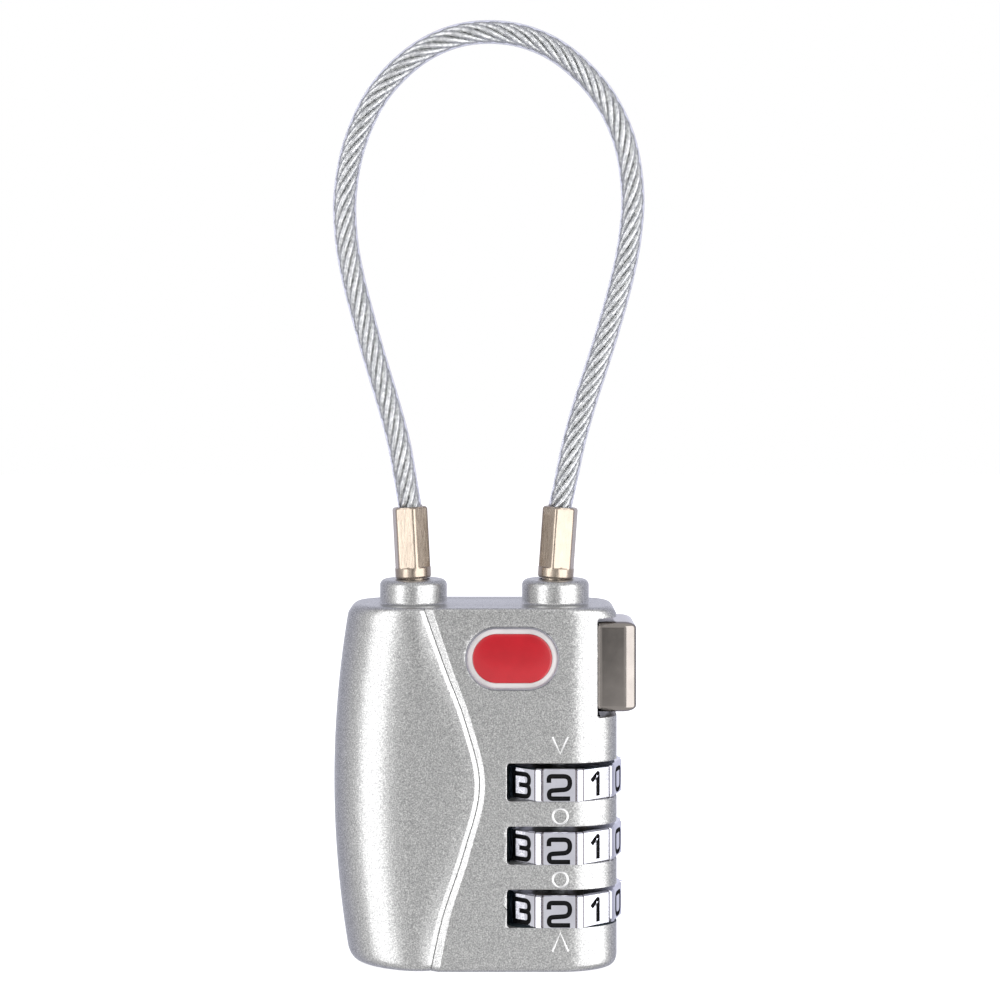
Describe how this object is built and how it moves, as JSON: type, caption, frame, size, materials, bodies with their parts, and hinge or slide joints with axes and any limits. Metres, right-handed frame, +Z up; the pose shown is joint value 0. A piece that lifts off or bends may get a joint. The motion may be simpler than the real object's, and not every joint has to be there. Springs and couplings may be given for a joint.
{
  "type": "cable luggage lock",
  "caption": "Luggage padlock with a sheathed steel cable shackle, three digit dials, a side release button and a key cylinder in the base.",
  "frame": {"origin": "centre of the casing's flat base", "axes": "+Z up along the cable shackle, -Y out of the front with the badge, +X towards the dials and the button"},
  "size_m": [0.0344, 0.0146, 0.1037],
  "materials": {
    "silver_paint": "satin silver paint with fine metallic flake on die-cast zinc",
    "dial_chrome": "bright chrome with black recessed digits",
    "polished_nickel": "polished nickel plate on brass",
    "steel": "plain bright steel",
    "brass": "machined brass",
    "cable_sheath": "clear vinyl sheath over galvanised wire rope",
    "badge": "red enamel under a clear gloss coat"
  },
  "bodies": {
    "housing": {"front_shell": "silver_paint", "rear_cover": "silver_paint", "cover_rivet_1": "steel", "cover_rivet_2": "steel", "cover_rivet_3": "steel", "badge_plate": "badge", "anchor_ferrule": "polished_nickel", "anchor_clip": "steel", "cylinder_barrel": "brass", "dial_spring": "steel", "spindle_spring": "steel", "button_spring": "steel", "cable": "cable_sheath"},
    "lower_dial": {"dial_1": "dial_chrome", "clutch_sleeve_1": "brass"},
    "middle_dial": {"dial_2": "dial_chrome", "clutch_sleeve_2": "brass"},
    "upper_dial": {"dial_3": "dial_chrome", "clutch_sleeve_3": "brass"},
    "button": {"release_button": "polished_nickel"},
    "latch": {"latch_slide": "steel"},
    "spindle": {"spindle": "steel"},
    "plug": {"lock_ferrule": "polished_nickel"},
    "key_core": {"cylinder_core": "brass", "core_clip": "steel", "core_cam": "steel", "wafer_1": "brass", "wafer_2": "brass", "wafer_3": "brass", "wafer_4": "brass"},
    "reset": {"reset_pin": "steel"}
  },
  "joints": [
    {"name": "lower_dial_turn", "type": "hinge", "parent": "housing", "child": "lower_dial", "pos_m": [0.00914, 0, 0.00675], "axis": [0, 0, 1], "continuous": true},
    {"name": "middle_dial_turn", "type": "hinge", "parent": "housing", "child": "middle_dial", "pos_m": [0.00914, 0, 0.01355], "axis": [0, 0, 1], "continuous": true},
    {"name": "upper_dial_turn", "type": "hinge", "parent": "housing", "child": "upper_dial", "pos_m": [0.00914, 0, 0.02035], "axis": [0, 0, 1], "continuous": true},
    {"name": "button_press", "type": "slide", "parent": "housing", "child": "button", "axis": [-1, 0, 0], "range_m": [0, 0.002], "stiffness_N_per_m": 600, "springref_m": -0.002, "deforming": ["button_spring"]},
    {"name": "latch_follow", "type": "slide", "parent": "housing", "child": "latch", "axis": [-1, 0, 0], "range_m": [0, 0.002]},
    {"name": "spindle_drop", "type": "slide", "parent": "housing", "child": "spindle", "axis": [0, 0, -1], "range_m": [0, 0.002], "deforming": ["spindle_spring"]},
    {"name": "plug_pull", "type": "slide", "parent": "housing", "child": "plug", "axis": [0.0698, 0, 0.9976], "range_m": [0, 0.0105], "deforming": ["cable"]},
    {"name": "key_turn", "type": "hinge", "parent": "housing", "child": "key_core", "pos_m": [-0.008, 0, 0.008], "axis": [0, 0, 1], "range_deg": [0, 90]},
    {"name": "reset_press", "type": "slide", "parent": "housing", "child": "reset", "axis": [0, -1, 0], "range_m": [0, 0.001], "stiffness_N_per_m": 300, "springref_m": -0.001}
  ],
  "couplings": [
    {"joint": "latch_follow", "follows": "button_press", "ratio": 1},
    {"joint": "spindle_drop", "follows": "button_press", "ratio": 1}
  ]
}
